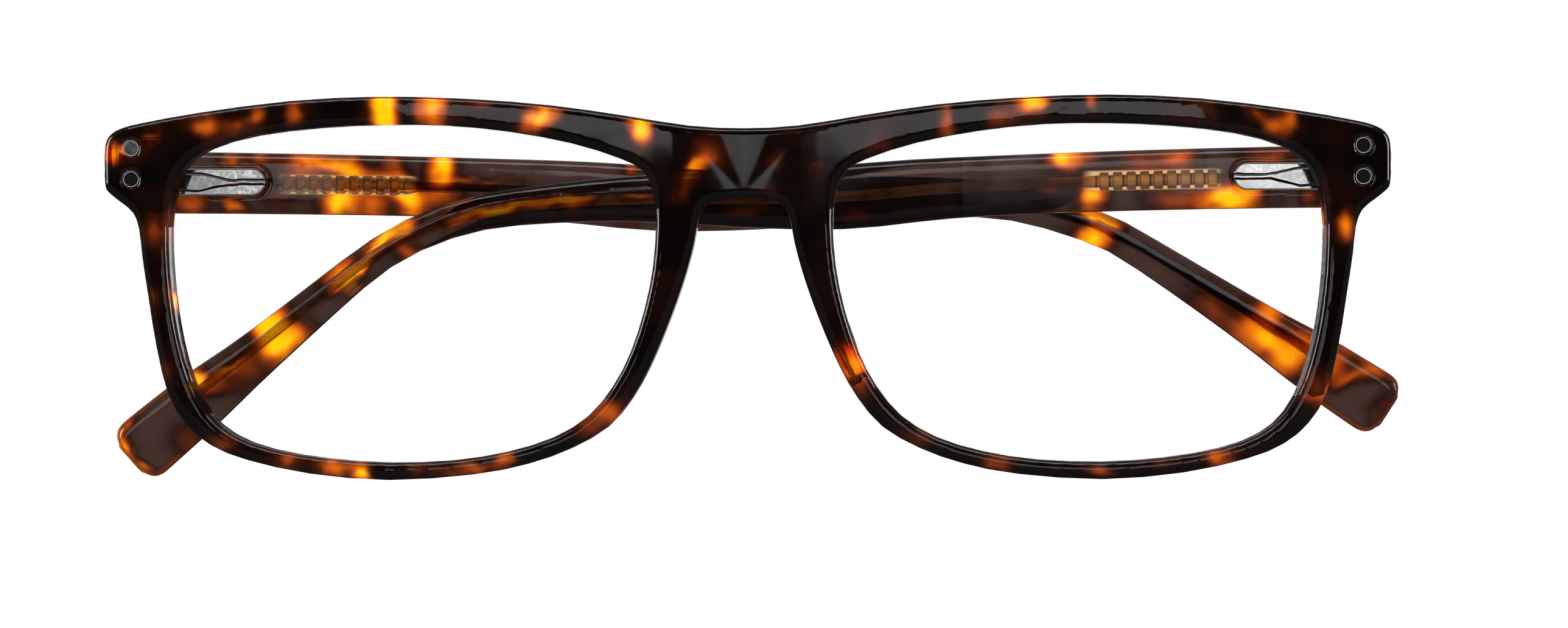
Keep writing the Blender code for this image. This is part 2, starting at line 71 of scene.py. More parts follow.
# Blotches as (x, z, half width, half height, tilt, heat). These rows were printed by a
# conversion script from places read by eye, as report.md says. They run right through in Y.
BLOTCH_DEPTH = 1000.0
FRONT_BLOTCHES = [
    (-39.6, 40.7, 1.5, 4.2, 0, 1.3), (-34.1, 41.0, 1.4, 2.2, 0, 0.85),
    (-35.6, 40.8, 1.0, 1.6, 0, 0.42), (-28.8, 41.3, 2.0, 1.0, 0, 0.4),
    (-22.3, 39.7, 2.3, 1.4, 25, 0.95), (-59.5, 38.9, 2.1, 1.4, 0, 0.6),
    (-55.9, 39.0, 1.3, 1.0, 0, 0.42), (-53.6, 39.9, 1.3, 1.4, 0, 0.55),
    (-49.7, 40.1, 1.2, 1.4, 0, 0.5), (-69.9, 36.0, 1.4, 1.4, 0, 0.72),
    (-65.7, 37.4, 1.4, 1.5, 0, 0.45), (-67.7, 35.4, 2.0, 1.1, 0, 0.26),
    (-65.3, 27.2, 1.3, 2.5, 0, 0.42), (-63.4, 27.5, 0.8, 4.2, 0, 0.38),
    (-63.2, 19.8, 0.5, 2.0, 0, 1.0), (-65.3, 19.6, 1.1, 1.9, 0, 0.26),
    (-64.0, 11.8, 1.3, 1.9, 0, 0.28), (-60.9, 10.5, 0.5, 1.5, 0, 0.8),
    (-57.8, 4.2, 2.2, 0.9, 0, 0.36), (-50.2, 2.5, 1.9, 1.1, 0, 0.55),
    (-44.8, 1.7, 2.8, 1.3, 0, 0.68), (-42.2, 0.6, 1.1, 0.9, 0, 1.1),
    (-36.0, 1.4, 1.9, 1.1, 0, 0.33), (-32.5, 1.0, 1.7, 0.9, 0, 0.31),
    (-29.7, 1.4, 2.2, 0.9, 0, 0.47), (-26.3, 2.1, 1.5, 0.9, 0, 0.52),
    (-14.8, 7.5, 2.2, 1.7, 0, 0.55), (-17.4, 5.8, 2.2, 1.5, 0, 0.36),
    (-11.2, 38.4, 1.3, 1.9, 0, 1.15), (-12.4, 39.6, 1.3, 1.2, 0, 0.42),
    (-4.0, 36.0, 2.2, 2.1, 0, 0.32), (-6.1, 32.8, 1.9, 0.8, 55, 0.68),
    (-5.0, 34.2, 1.8, 1.0, 45, 0.6), (-7.1, 31.4, 0.9, 0.9, 0, 0.48),
    (3.3, 34.7, 1.5, 1.5, 0, 0.3), (7.8, 33.9, 1.5, 1.5, 0, 0.3),
    (2.5, 31.6, 1.8, 0.7, 0, 0.3), (22.0, 39.2, 1.1, 2.4, 0, 0.52),
    (14.6, 36.7, 2.4, 1.3, 0, 0.32), (14.9, 39.2, 2.4, 1.5, 0, 0.22),
    (6.1, 37.8, 2.4, 1.8, 0, 0.14), (28.0, 39.8, 1.9, 1.6, 0, 0.46),
    (31.6, 41.4, 1.9, 1.2, 0, 1.0), (38.1, 41.3, 1.0, 1.4, 0, 0.55),
    (50.6, 40.4, 1.8, 1.8, 0, 0.27), (55.7, 40.4, 1.5, 0.9, -35, 0.5),
    (57.7, 38.8, 1.5, 1.1, 0, 0.52), (59.7, 39.2, 1.2, 1.8, 0, 0.56),
    (65.7, 27.7, 1.2, 2.1, 0, 0.72), (64.5, 38.3, 2.1, 1.5, 0, 0.12),
    (63.3, 27.7, 0.4, 2.7, 0, 0.8), (12.0, 12.6, 1.3, 1.9, 20, 1.0),
    (11.3, 13.8, 1.2, 1.7, 0, 0.38), (12.6, 9.5, 1.7, 1.7, 0, 0.28),
    (62.5, 10.2, 1.7, 2.1, 0, 0.68), (51.4, 2.7, 2.1, 1.0, 0, 0.55),
    (45.6, 2.0, 2.5, 0.8, 0, 0.33), (38.6, 0.9, 1.7, 0.8, 0, 0.47),
    (27.4, 1.8, 2.5, 1.2, 0, 0.44), (19.2, 4.5, 2.9, 1.7, 0, 0.29),
    (8.9, 20.7, 1.7, 3.7, 0, 0.16),
]
RIGHT_TEMPLE_BLOTCHES = [
    (-34.3, 34.9, 1.5, 1.7, 0, 1.1), (-34.3, 33.2, 1.1, 1.3, 0, 0.5),
    (-39.7, 35.3, 1.3, 1.0, 0, 0.42), (-46.2, 34.7, 3.1, 0.8, -12, 0.8),
    (-49.6, 35.4, 1.7, 0.7, 0, 0.52), (-57.8, 35.4, 1.3, 0.7, 0, 0.72),
    (-54.4, 35.4, 1.4, 0.7, 0, 0.52), (-50.4, 34.4, 2.5, 1.4, 0, 0.42),
    (-62.4, 30.7, 2.0, 1.4, 0, 0.52), (-57.3, 30.3, 1.7, 0.7, -20, 0.66),
    (-45.7, 30.7, 2.1, 1.4, 20, 1.1), (-44.3, 33.6, 1.7, 1.5, 0, 0.78),
    (-38.3, 31.5, 2.3, 1.3, -55, 1.1), (-35.3, 31.3, 3.4, 1.7, 0, 0.5),
    (-40.7, 33.4, 1.9, 1.3, 0, 0.55), (-41.9, 30.7, 1.7, 1.7, 0, 0.6),
    (-52.4, 31.3, 2.8, 1.7, 0, 0.24), (-49.0, 33.1, 2.6, 1.2, 0, 0.3),
    (-30.0, 32.9, 5.0, 0.5, 0, 0.45), (-13.3, 34.4, 1.1, 0.9, 0, 0.47),
    (19.4, 34.5, 1.8, 0.9, 0, 0.38), (38.8, 28.5, 2.0, 0.9, -40, 1.1),
    (38.0, 26.6, 1.8, 1.1, -20, 1.1), (37.1, 29.3, 1.8, 0.5, 0, 0.5),
    (40.0, 27.6, 1.2, 1.5, 0, 0.6), (51.3, 18.5, 3.3, 1.9, -35, 0.38),
    (57.6, 15.1, 2.5, 1.7, -35, 0.9), (55.5, 16.2, 2.5, 1.7, 0, 0.5),
    (57.6, 18.1, 2.1, 1.2, -30, 0.66), (59.7, 13.0, 2.1, 2.1, 0, 0.76),
    (61.4, 14.7, 2.1, 1.7, 0, 0.52), (64.8, 12.0, 1.7, 1.7, 0, 0.5),
    (69.4, 11.7, 2.1, 1.0, -15, 0.47), (66.9, 10.9, 2.5, 0.8, 15, 0.47),
    (65.6, 13.4, 1.7, 1.2, 0, 0.32),
]
LEFT_TEMPLE_BLOTCHES = [
    (34.8, 35.3, 1.7, 1.3, 0, 1.1), (37.2, 35.6, 1.8, 1.1, 0, 0.58),
    (47.7, 35.2, 2.1, 1.1, 0, 0.58), (43.4, 35.2, 2.7, 0.9, 0, 0.34),
    (58.1, 35.5, 3.0, 1.1, 0, 0.42), (38.0, 31.2, 1.5, 1.6, 0, 0.9),
    (32.9, 31.5, 2.4, 1.5, 0, 0.3), (47.2, 30.7, 3.3, 1.2, 0, 0.45),
    (53.0, 30.9, 3.0, 1.4, 0, 1.15), (55.6, 31.5, 1.5, 1.2, 0, 0.55),
    (62.2, 30.8, 1.2, 1.1, 0, 0.38), (43.8, 33.3, 5.4, 1.5, 0, 0.42),
    (0.0, 29.5, 3.3, 1.2, 0, 0.45), (12.0, 29.0, 3.3, 1.2, 0, 0.42),
    (-20.1, 30.9, 2.9, 0.6, 8, 1.0), (-12.0, 31.2, 2.1, 0.4, 0, 0.62),
    (-19.2, 30.0, 1.8, 1.5, 0, 0.38), (-27.8, 29.8, 3.9, 0.6, 13, 1.05),
    (-23.9, 30.3, 2.3, 0.7, 8, 0.5), (-39.2, 27.8, 2.4, 1.5, 35, 1.05),
    (-41.2, 25.5, 4.7, 0.45, 35, 1.0), (-44.9, 23.0, 2.5, 1.4, 40, 0.55),
    (-37.5, 24.9, 1.7, 1.1, 0, 0.52), (-32.1, 28.9, 2.5, 1.1, 20, 0.5),
    (-44.1, 22.4, 2.8, 0.5, 38, 1.0), (-53.1, 17.0, 2.0, 1.6, 30, 1.2),
    (-52.0, 14.9, 2.2, 1.5, 30, 1.2), (-50.1, 16.2, 1.9, 1.5, 0, 0.52),
    (-55.8, 12.1, 2.2, 1.9, 0, 0.38), (-57.6, 12.1, 2.3, 0.4, 38, 0.8),
    (-61.2, 10.8, 1.2, 1.1, 0, 1.05), (-59.1, 10.2, 2.2, 1.3, 0, 0.38),
    (-69.0, 3.5, 2.4, 0.6, -60, 0.85), (-67.0, 1.2, 1.6, 0.6, -25, 0.8),
    (-68.9, 5.8, 0.6, 1.9, -35, 0.6), (-62.1, 4.3, 2.2, 2.2, 0, 0.27),
]

# Ribbed anchors of the wire cores: span along the temple, slope, and the colour over them
RIB_SPAN, RIB_SLOPE, RIB_PITCH = (13.2, 27.6), 0.016, 1.5
RIB_TINTS = {"left": (0.62, 0.38, 0.18), "right": (0.55, 0.34, 0.12)}

# How far from the bridge the painted glow on the edge of a temple's tip begins
TIP_START = 62.0

# The one rivet whose middle is painted paler
PALE_MIDDLE_RIVET = ("right", "upper")

# How far the floor lies under the rims, so that the two don't share a plane
FLOOR_GAP = 0.05

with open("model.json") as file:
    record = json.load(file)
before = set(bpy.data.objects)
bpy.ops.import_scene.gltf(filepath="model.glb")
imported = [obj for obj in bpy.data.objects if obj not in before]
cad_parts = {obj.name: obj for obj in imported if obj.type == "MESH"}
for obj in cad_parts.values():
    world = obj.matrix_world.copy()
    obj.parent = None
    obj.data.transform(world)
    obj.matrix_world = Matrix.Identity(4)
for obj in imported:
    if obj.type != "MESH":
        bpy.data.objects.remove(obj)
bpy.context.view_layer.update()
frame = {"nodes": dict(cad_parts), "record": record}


# Node helpers ---------------------------------------------------------------


def new_material(name):
    material = bpy.data.materials.new(name)
    material.use_nodes = True
    tree = material.node_tree
    return material, tree, tree.nodes["Principled BSDF"]


def add(tree, kind, inputs=None, **settings):
    """A node with its settings, and its inputs as values or as sockets to link from."""
    node = tree.nodes.new(kind)
    for key, value in settings.items():
        setattr(node, key, value)
    for key, value in (inputs or {}).items():
        if isinstance(value, bpy.types.NodeSocket):
            tree.links.new(value, node.inputs[key])
        else:
            node.inputs[key].default_value = value
    return node


def calculate(tree, operation, *values):
    node = add(tree, "ShaderNodeMath", dict(enumerate(values)), operation=operation)
    return node.outputs[0]


def spread(tree, value, low, high, to_low=0.0, to_high=1.0):
    """Turns low..high into to_low..to_high with soft ends."""
    node = add(
        tree,
        "ShaderNodeMapRange",
        {"Value": value, "From Min": low, "From Max": high, "To Min": to_low, "To Max": to_high},
        interpolation_type="SMOOTHSTEP",
    )
    return node.outputs[0]


def ramp(tree, value, stops):
    node = add(tree, "ShaderNodeValToRGB", {"Fac": value})
    elements = node.color_ramp.elements
    while len(elements) < len(stops):
        elements.new(0.5)
    for element, (position, colour) in zip(elements, stops):
        element.position = position
        element.color = (*colour, 1)
    return node.outputs["Color"]


def millimetres(tree):
    """Places in the piece's own coordinates, in millimetres, so a pattern moves with it."""
    place = add(tree, "ShaderNodeTexCoord").outputs["Object"]
    scaled = add(tree, "ShaderNodeVectorMath", {0: place, "Scale": 1 / MM}, operation="SCALE")
    return scaled.outputs[0]


def noise(tree, place, size, detail=3.0, roughness=0.5):
    """Noise with features of about size in millimetres."""
    return add(
        tree,
        "ShaderNodeTexNoise",
        {"Vector": place, "Scale": 1 / size, "Detail": detail, "Roughness": roughness},
    )


def shifted(tree, place, wobble, reach):
    """Places moved about by a noise node, by up to half of reach along each axis."""
    offset = add(
        tree, "ShaderNodeVectorMath", {0: wobble.outputs["Color"], 1: (0.5, 0.5, 0.5)},
        operation="SUBTRACT",
    ).outputs[0]
    return add(
        tree, "ShaderNodeVectorMath", {0: offset, 1: reach, 2: place},
        operation="MULTIPLY_ADD",
    ).outputs[0]


def along_temple(tree, place, hinge):
    """How far places lie along a temple from its hinge, and how high above the housing."""
    apart = add(
        tree, "ShaderNodeVectorMath", {0: place, 1: hinge["axis"]}, operation="SUBTRACT"
    ).outputs[0]
    split = add(tree, "ShaderNodeSeparateXYZ", {0: apart}).outputs
    return calculate(tree, "MULTIPLY", split["X"], hinge["way"]), split["Z"]


def bump(tree, shader, height, strength, distance):
    node = add(
        tree,
        "ShaderNodeBump",
        {"Height": height, "Strength": strength, "Distance": distance * MM},
    )
    tree.links.new(node.outputs[0], shader.inputs["Normal"])


# Materials ------------------------------------------------------------------


def blotch_group():
    """What one soft blotch leaves of the dark: 0 at a hot centre, 1 far from it."""
    group = bpy.data.node_groups.new("blotch", "ShaderNodeTree")
    for name, kind in (
        ("Place", "NodeSocketVector"), ("Centre", "NodeSocketVector"),
        ("Size", "NodeSocketVector"), ("Tilt", "NodeSocketFloat"), ("Heat", "NodeSocketFloat"),
    ):
        group.interface.new_socket(name, in_out="INPUT", socket_type=kind)
    group.interface.new_socket("Left", in_out="OUTPUT", socket_type="NodeSocketFloat")
    start, end = group.nodes.new("NodeGroupInput"), group.nodes.new("NodeGroupOutput")
    turned = add(
        group, "ShaderNodeVectorRotate",
        {"Vector": start.outputs["Place"], "Center": start.outputs["Centre"],
         "Angle": start.outputs["Tilt"]},
        rotation_type="Y_AXIS",
    ).outputs[0]
    apart = add(
        group, "ShaderNodeVectorMath", {0: turned, 1: start.outputs["Centre"]},
        operation="SUBTRACT",
    ).outputs[0]
    scaled = add(
        group, "ShaderNodeVectorMath", {0: apart, 1: start.outputs["Size"]}, operation="DIVIDE"
    ).outputs[0]
    square = add(
        group, "ShaderNodeVectorMath", {0: scaled, 1: scaled}, operation="DOT_PRODUCT"
    ).outputs["Value"]
    falloff = calculate(group, "EXPONENT", calculate(group, "MULTIPLY", square, -1.0))
    heat = calculate(group, "MULTIPLY", falloff, start.outputs["Heat"])
    group.links.new(calculate(group, "SUBTRACT", 1.0, heat), end.inputs["Left"])
    return group


def facing(tree):
    """1 on faces square to the front, 0 on the walls between front and back."""
    normal = add(tree, "ShaderNodeTexCoord").outputs["Normal"]
    split = add(tree, "ShaderNodeSeparateXYZ", {0: normal}).outputs
    return calculate(tree, "ABSOLUTE", split["Y"])


def rib_window(tree, place, hinge):
    """1 over the ribbed anchor of the wire core, which shows through the temple there."""
    along, above = along_temple(tree, place, hinge)
    level = calculate(tree, "MULTIPLY_ADD", along, RIB_SLOPE, above)
    off = calculate(tree, "ABSOLUTE", level)
    begins = spread(tree, along, RIB_SPAN[0] - 0.6, RIB_SPAN[0] + 0.6)
    ends = spread(tree, along, RIB_SPAN[1] - 0.6, RIB_SPAN[1] + 0.8, 1.0, 0.0)
    return calculate(
        tree, "MULTIPLY", spread(tree, off, 0.95, 1.2, 1.0, 0.0),
        calculate(tree, "MULTIPLY", begins, ends),
    )


def rib_grooves(tree, along):
    """0.2 in the grooves between the ribs of a wire core, 1 on the ribs; it places painted groove
    shade.
    """
    turn = calculate(tree, "DIVIDE", calculate(tree, "SUBTRACT", along, RIB_SPAN[0]), RIB_PITCH)
    phase = calculate(tree, "PINGPONG", turn, 0.5)
    return spread(tree, phase, 0.03, 0.13, 0.2, 1.0)


def blotch_heat(tree, place, group, blotches):
    """How hot the pattern is: what the blotches and a faint cloud leave of the dark."""
    warped = shifted(tree, place, noise(tree, place, 2.6, 1.0), (2.0, 0.0, 2.0))
    cloud = noise(tree, place, 6.0, 1.0).outputs[0]
    left = spread(tree, cloud, 0.5, 0.8, 1.0, 0.74)
    for x, z, wide, high, tilt, strength in blotches:
        blotch = add(
            tree,
            "ShaderNodeGroup",
            {"Place": warped, "Centre": (x, 0, z), "Size": (wide, BLOTCH_DEPTH, high),
             "Tilt": math.radians(tilt), "Heat": strength},
            node_tree=group,
        )
        left = calculate(tree, "MULTIPLY", left, blotch.outputs["Left"])
    return calculate(tree, "SUBTRACT", 1.0, left)


def painted_edge_glow(tree, place, square, temple):
    """Painted glow: heat that walls add, lighter amber where faces turn from the front; the
    front's everywhere, a temple's only round its tip.
    """
    if not temple:
        return spread(tree, square, 0.05, 0.4, 0.36, 0.0)
    x = add(tree, "ShaderNodeSeparateXYZ", {0: place}).outputs["X"]
    beyond = calculate(tree, "MULTIPLY", x, -temple["way"])
    tip = spread(tree, beyond, -TIP_START - 2, -TIP_START + 2, 1.0, 0.0)
    return calculate(tree, "MULTIPLY", spread(tree, square, 0.75, 0.98, 0.42, 0.0), tip)


def tortoiseshell(name, group, blotches, dark, clear, temple=None):
    """Polished acetate. dark is its darkest colour, clear how glassy that dark is."""
    material, tree, shader = new_material(name)
    place = millimetres(tree)
    square = facing(tree)
    # Heat of the blotch pattern, with painted glow added on the walls
    heat = calculate(
        tree, "MAXIMUM", blotch_heat(tree, place, group, blotches),
        painted_edge_glow(tree, place, square, temple),
    )
    colour = ramp(tree, heat, [(0.0, dark)] + TORTOISE_RAMP)
    glassy = spread(tree, heat, 0.0, 0.5, clear, 0.92)
    if temple:
        window = rib_window(tree, place, temple)
        shown = add(
            tree, "ShaderNodeMix",
            {"Factor": calculate(tree, "MULTIPLY", window, 0.85), "A": colour,
             "B": (*temple["tint"], 1)},
            data_type="RGBA",
        )
        colour = shown.outputs["Result"]
        glassy = calculate(tree, "MAXIMUM", glassy, window)
    tree.links.new(colour, shader.inputs["Base Color"])
    tree.links.new(glassy, shader.inputs["Transmission Weight"])
    smears = noise(tree, place, 9.0, 4.0, 0.6).outputs[0]
    roughness = spread(tree, smears, 0.35, 0.75, 0.02, 0.06)
    tree.links.new(roughness, shader.inputs["Roughness"])
    tree.links.new(spread(tree, square, 0.15, 0.75, 1.03, 1.49), shader.inputs["IOR"])
    ripple = noise(tree, place, 5.0, 1.0).outputs[0]
    bump(tree, shader, ripple, 0.08, 0.05)
    return material


def metal(name, colour, roughness, scratch_size, scratches=0.1):
    """Bare metal with fine scratches along X and uneven polish."""
    material, tree, shader = new_material(name)
    place = millimetres(tree)
    stretched = add(
        tree, "ShaderNodeVectorMath", {0: place, 1: (0.12, 1.0, 1.0)}, operation="MULTIPLY"
    ).outputs[0]
    lines = noise(tree, stretched, scratch_size, 4.0, 0.6).outputs[0]
    tint = spread(tree, noise(tree, place, 2.5).outputs[0], 0.3, 0.7, 0.88, 1.0)
    dull = (*[channel * 0.6 for channel in colour], 1)
    shade = add(
        tree, "ShaderNodeMix", {"Factor": tint, "A": dull, "B": (*colour, 1)}, data_type="RGBA"
    )
    tree.links.new(shade.outputs["Result"], shader.inputs["Base Color"])
    shader.inputs["Metallic"].default_value = 1.0
    uneven = spread(tree, lines, 0.3, 0.7, roughness * 0.7, roughness * 1.5)
    tree.links.new(uneven, shader.inputs["Roughness"])
    bump(tree, shader, lines, scratches, 0.02)
    return material


def core_metal(name, hinge):
    """Nickel silver wire, with painted shade in the grooves between the ribs of its anchor."""
    material, tree, shader = new_material(name)
    place = millimetres(tree)
    drawn = add(
        tree, "ShaderNodeVectorMath", {0: place, 1: (0.1, 1.0, 1.0)}, operation="MULTIPLY"
    ).outputs[0]
    lines = noise(tree, drawn, 0.3, 4.0, 0.6).outputs[0]
    bright = ramp(tree, lines, [(0.3, (0.62, 0.42, 0.16)), (0.7, (0.95, 0.74, 0.36))])
    along, _ = along_temple(tree, place, hinge)
    ribbed = spread(tree, along, RIB_SPAN[1] - 1, RIB_SPAN[1], 1.0, 0.0)
    # Painted shade: near black in the grooves between the ribs, over the ribbed anchor only
    painted_groove_shade = calculate(tree, "SUBTRACT", 1.0, rib_grooves(tree, along))
    dark = calculate(tree, "MULTIPLY", painted_groove_shade, ribbed)
    shade = add(
        tree, "ShaderNodeMix", {"Factor": dark, "A": bright, "B": (0.02, 0.012, 0.006, 1)},
        data_type="RGBA",
    )
    tree.links.new(shade.outputs["Result"], shader.inputs["Base Color"])
    shader.inputs["Metallic"].default_value = 0.6
    tree.links.new(spread(tree, lines, 0.3, 0.7, 0.3, 0.5), shader.inputs["Roughness"])
    bump(tree, shader, lines, 0.1, 0.02)
    return material


def grooved_chrome(name, hinge):
    """Chrome of a spring housing: polished, with painted shade drawn along the lips of its funnel
    and inside it.
    """
    material, tree, shader = new_material(name)
    place = millimetres(tree)
    warped = shifted(tree, place, noise(tree, place, 2.2, 1.0), (0.0, 0.0, 0.5))
    along, above = along_temple(tree, warped, hinge)
    off = calculate(tree, "ABSOLUTE", above)
    half = spread(tree, along, 3.6, 8.0, 1.05, 0.3)
    beside = calculate(tree, "SUBTRACT", off, half)
    lip = calculate(tree, "ABSOLUTE", beside)
    # Painted shade: a near black line along each lip of the funnel, and the funnel's inside
    # darker, fading out along the housing
    painted_lip_shade = spread(tree, lip, 0.03, 0.16, 0.05, 1.0)
    painted_funnel_shade = spread(tree, beside, -0.5, 0.0, 0.7, 1.0)
    fade = spread(tree, along, 4.0, 8.5, 0.55, 1.0)
    shade = calculate(tree, "MULTIPLY", painted_lip_shade, calculate(tree, "MAXIMUM", painted_funnel_shade, fade))
    wash = noise(tree, place, 3.5, 2.0).outputs[0]
    shade = calculate(tree, "MULTIPLY", shade, spread(tree, wash, 0.35, 0.65, 0.8, 1.0))
    stops = [(0.0, (0.02, 0.02, 0.02)), (0.5, (0.6, 0.6, 0.61)), (1.0, (0.97, 0.97, 0.98))]
    tree.links.new(ramp(tree, shade, stops), shader.inputs["Base Color"])
    shader.inputs["Metallic"].default_value = 1.0
    scratches = noise(tree, place, 0.4, 4.0).outputs[0]
    tree.links.new(spread(tree, scratches, 0.3, 0.7, 0.06, 0.12), shader.inputs["Roughness"])
    bump(tree, shader, spread(tree, beside, -0.25, 0.1), 0.5, 0.15)
    return material


def rivet_steel(name, centre, pale_middle):
    """A pin end: a bright turned rim round a satin middle painted near black as a dark
    reflection, paler on one rivet.
    """
    material, tree, shader = new_material(name)
    place = millimetres(tree)
    apart = add(
        tree, "ShaderNodeVectorMath", {0: place, 1: tuple(centre)}, operation="SUBTRACT"
    ).outputs[0]
    flat = add(
        tree, "ShaderNodeVectorMath", {0: apart, 1: (1, 0, 1)}, operation="MULTIPLY"
    ).outputs[0]
    radius = add(tree, "ShaderNodeVectorMath", {0: flat}, operation="LENGTH").outputs["Value"]
    rings = calculate(tree, "SINE", calculate(tree, "MULTIPLY", radius, 38.0))
    grain = noise(tree, place, 0.25, 4.0).outputs[0]
    rim = spread(tree, radius, 0.76, 0.8)
    # Painted reflection: the middle is near black metal, paler on one rivet
    low, high = (0.08, 0.3) if pale_middle else (0.012, 0.035)
    middle = ramp(tree, grain, [(0.35, (low,) * 3), (0.7, (high,) * 3)])
    shade = add(
        tree, "ShaderNodeMix", {"Factor": rim, "A": middle, "B": (0.95, 0.95, 0.96, 1)},
        data_type="RGBA",
    )
    tree.links.new(shade.outputs["Result"], shader.inputs["Base Color"])
    shader.inputs["Metallic"].default_value = 1.0
    tree.links.new(spread(tree, rim, 0, 1, 0.5, 0.4), shader.inputs["Roughness"])
    bump(tree, shader, rings, 0.1, 0.01)
    return material


def lens_plastic(name):
    """Clear lens: almost invisible head on, a reflection at a slant, a few faint smears."""
    material, tree, shader = new_material(name)
    place = millimetres(tree)
    smears = noise(tree, place, 14.0, 4.0, 0.6).outputs[0]
    slant = add(tree, "ShaderNodeFresnel", {"IOR": 1.5}).outputs[0]
    shader.inputs["Base Color"].default_value = (0.92, 0.96, 1.0, 1)
    shader.inputs["Metallic"].default_value = 1.0
    tree.links.new(spread(tree, smears, 0.3, 0.8, 0.0, 0.06), shader.inputs["Roughness"])
    tree.links.new(calculate(tree, "MULTIPLY", slant, 0.12), shader.inputs["Alpha"])
    return material


# Pieces ---------------------------------------------------------------------


def body_of(node):
    bodies = frame["record"]["behaviour"]["bodies"]
    return next(body for body, nodes in bodies.items() if node in nodes)


def with_core(mesh, core):
    """The mesh with a swollen copy of its wire core, which fills the channel round the wire."""
    swollen = bpy.data.objects.new("swollen", frame["nodes"][core].data.copy())
    bpy.context.scene.collection.objects.link(swollen)
    swell = swollen.modifiers.new("swell", "DISPLACE")
    swell.mid_level = 0
    swell.strength = CORE_SWELL * MM
    bpy.context.view_layer.update()
    seen = swollen.evaluated_get(bpy.context.evaluated_depsgraph_get())
    both = bmesh.new()
    both.from_mesh(mesh)
    both.from_mesh(seen.to_mesh())
    both.to_mesh(mesh)
    both.free()
    bpy.data.objects.remove(swollen)
    return mesh


def polished(node, voxel, rounds, core=None):
    """A fine copy of a CAD node with its edges polished round, which stands for the node."""
    mesh = frame["nodes"][node].data.copy()
    if core:
        mesh = with_core(mesh, core)
    piece = bpy.data.objects.new(f"{node}_polished", mesh)
    bpy.context.scene.collection.objects.link(piece)
    fine = piece.modifiers.new("fine", "REMESH")
    fine.mode = "VOXEL"
    fine.voxel_size = voxel * MM
    fine.use_smooth_shade = True
    soft = piece.modifiers.new("soft", "SMOOTH")
    soft.factor = 0.5
    soft.iterations = rounds
    bpy.context.view_layer.update()
    seen = piece.evaluated_get(bpy.context.evaluated_depsgraph_get())
    mesh = bpy.data.meshes.new_from_object(seen)
    piece.modifiers.clear()
    piece.data = mesh
    piece.data.shade_smooth()
    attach(piece, body_of(node))
    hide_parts(node)
    return piece


def dress(piece, material):
    """Gives every material slot of a piece one material."""
    piece.data.materials.clear()
    piece.data.materials.append(material)


def middle_of(node):
    """The middle of a CAD node's box in millimetres."""
    low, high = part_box(node)
    return (low + high) / 2 / MM


def hinge_of(side):
    """Where a temple's pattern starts: its hinge, the way it runs, and its rib colour."""
    screw, case = middle_of(f"hinge_screw_{side}"), middle_of(f"spring_housing_{side}")
    way = -1.0 if screw.x > 0 else 1.0
    return {"axis": (screw.x, 0.0, case.z), "way": way, "tint": RIB_TINTS[side]}


def dress_node(node, material):
    for slot in frame["nodes"][node].material_slots:
        slot.material = material


def make_acetate():
    group = blotch_group()
    front = tortoiseshell("acetate_front", group, FRONT_BLOTCHES, FRONT_DARK, 0.0)
    dress(polished("front", ACETATE_VOXEL, ACETATE_POLISH), front)
    blotches = {"left": LEFT_TEMPLE_BLOTCHES, "right": RIGHT_TEMPLE_BLOTCHES}
    for side, places in blotches.items():
        temple = tortoiseshell(
            f"acetate_temple_{side}", group, places, TEMPLE_DARK, 0.9, hinge_of(side)
        )
        core = f"wire_core_{side}"
        dress(polished(f"temple_{side}", ACETATE_VOXEL, ACETATE_POLISH, core), temple)
        dress(polished(f"nose_pad_{side}", PAD_VOXEL, PAD_POLISH), front)


def make_metals():
    chrome = metal("chrome", (0.8, 0.8, 0.82), 0.09, 0.5, 0.05)
    steel = metal("steel", (0.6, 0.6, 0.62), 0.24, 0.3)
    for side in ("left", "right"):
        for noun in ("hinge_plate", "hinge_slider"):
            dress_node(f"{noun}_{side}", chrome)
        hinge = hinge_of(side)
        dress_node(f"spring_housing_{side}", grooved_chrome(f"housing_chrome_{side}", hinge))
        for noun in ("hinge_screw", "hinge_spring", "slider_stop"):
            dress_node(f"{noun}_{side}", steel)
        dress_node(f"wire_core_{side}", core_metal(f"nickel_silver_{side}", hinge))
        dress_node(f"lens_{side}", lens_plastic(f"clear_lens_{side}"))
        for level in ("upper", "lower"):
            node = f"rivet_{side}_{level}"
            pale_middle = (side, level) == PALE_MIDDLE_RIVET
            dress_node(node, rivet_steel(f"pin_{side}_{level}", middle_of(node), pale_middle))


# Stage ----------------------------------------------------------------------


def make_camera():
    side = math.radians(CAMERA_SIDE)
    target = Vector(CAMERA_TARGET) * MM
    view = Vector((-math.sin(side), math.cos(side), 0))
    data = bpy.data.cameras.new("camera")
    data.lens, data.sensor_width, data.sensor_fit = CAMERA_LENS, SENSOR_WIDTH, "HORIZONTAL"
    data.clip_start, data.clip_end = 0.01, 100
    camera = bpy.data.objects.new("camera", data)
    bpy.context.scene.collection.objects.link(camera)
    turn = view.to_track_quat("-Z", "Y").to_matrix().to_4x4()
    roll = Matrix.Rotation(math.radians(CAMERA_ROLL), 4, "Z")
    camera.matrix_world = Matrix.Translation(target - view * CAMERA_DISTANCE * MM) @ turn @ roll
    bpy.context.scene.camera = camera


def area_light(name, place, aim, size, power):
    data = bpy.data.lights.new(name, "AREA")
    data.shape, data.size, data.size_y = "RECTANGLE", *[s * MM for s in size]
    data.energy = power
    light = bpy.data.objects.new(name, data)
    bpy.context.scene.collection.objects.link(light)
    light.location = Vector(place) * MM
    light.rotation_euler = (Vector(aim) * MM - light.location).to_track_quat("-Z", "Y").to_euler()


